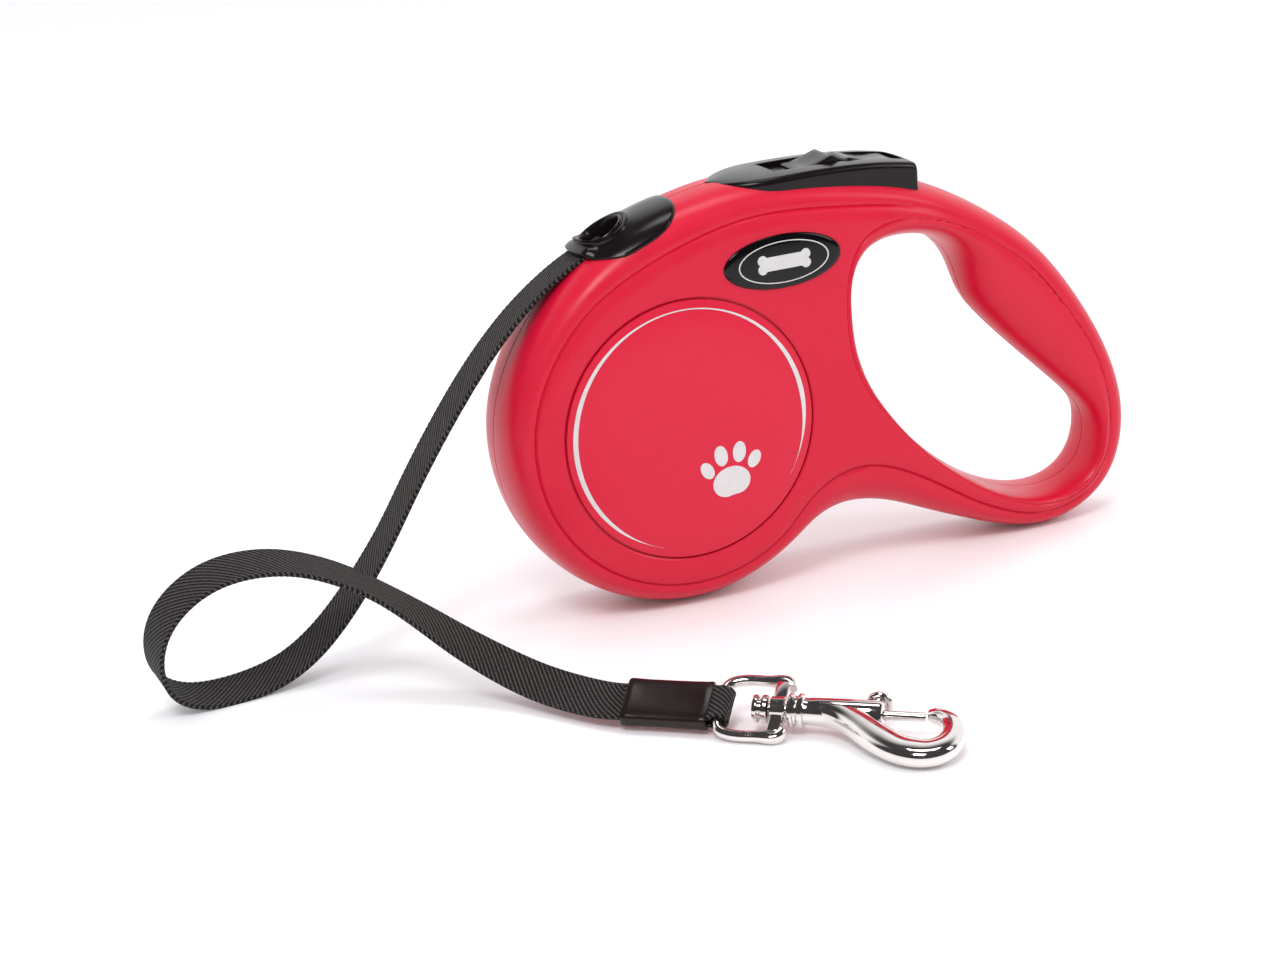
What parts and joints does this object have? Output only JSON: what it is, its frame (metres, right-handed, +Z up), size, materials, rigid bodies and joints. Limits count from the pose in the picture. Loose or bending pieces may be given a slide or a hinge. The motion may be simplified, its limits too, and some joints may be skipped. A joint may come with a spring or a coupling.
{
  "type": "retractable leash",
  "caption": "Retractable tape leash: round reel casing with a closed hand loop, a sprung brake button and lock slider on top, and a webbing tape ending in a swivel snap hook.",
  "frame": {"origin": "on the floor plane, under the middle of the casing's length, in the parting plane of its two halves", "axes": "+X towards the hand loop, -Y out of the front face with the oval badge, +Z up towards the brake button"},
  "size_m": [0.2584, 0.1418, 0.104],
  "materials": {
    "casing": "satin red moulded plastic",
    "label": "printed red label film with a silver ring",
    "badge": "glossy black domed resin",
    "black_plastic": "glossy black moulded plastic",
    "reel_plastic": "natural black acetal",
    "steel": "bright steel",
    "chrome": "nickel-plated zinc casting",
    "webbing": "woven black polyester tape",
    "sleeve": "dark shrunk plastic sleeve"
  },
  "bodies": {
    "housing": {"front_shell": "casing", "rear_shell": "casing", "front_label": "label", "rear_label": "label", "front_badge": "badge", "rear_badge": "badge", "tape_guide": "black_plastic", "button_bezel": "black_plastic", "housing_screws": "steel", "axle": "steel", "axle_washers": "steel", "mainspring": "steel", "tape_lead": "webbing", "button_spring": "steel", "leash_tape": "webbing", "tape_seam": "webbing", "tape_sleeve": "sleeve", "tape_loop": "webbing"},
    "reel": {"reel_body": "reel_plastic", "reel_cover": "reel_plastic", "wound_tape": "webbing"},
    "brake": {"brake_button": "black_plastic", "brake_pawl": "steel"},
    "slider": {"lock_slider": "black_plastic"},
    "swivel": {"swivel_frame": "chrome"},
    "hook": {"snap_hook": "chrome", "bolt_spring": "steel"},
    "bolt": {"snap_bolt": "chrome"}
  },
  "joints": [
    {"name": "reel_spin", "type": "hinge", "parent": "housing", "child": "reel", "pos_m": [-0.03965, 0, 0.045], "axis": [0, 1, 0], "continuous": true},
    {"name": "brake_press", "type": "slide", "parent": "housing", "child": "brake", "axis": [0, 0, -1], "range_m": [0, 0.003], "stiffness_N_per_m": 600, "springref_m": -0.002, "deforming": ["button_spring"]},
    {"name": "lock_slide", "type": "slide", "parent": "housing", "child": "slider", "axis": [-1, 0, 0], "range_m": [0, 0.004]},
    {"name": "swivel_tilt", "type": "hinge", "parent": "housing", "child": "swivel", "pos_m": [-0.06491, -0.08366, 0.005], "axis": [-0.5522, -0.6992, -0.454], "range_deg": [0, 60]},
    {"name": "hook_swivel", "type": "hinge", "parent": "swivel", "child": "hook", "pos_m": [-0.05176, -0.09404, 0.005], "axis": [0.7848, -0.6198, 0], "continuous": true},
    {"name": "bolt_pull", "type": "slide", "parent": "hook", "child": "bolt", "axis": [-0.7848, 0.6198, 0], "range_m": [0, 0.008], "stiffness_N_per_m": 200, "springref_m": -0.003, "deforming": ["bolt_spring"]}
  ]
}
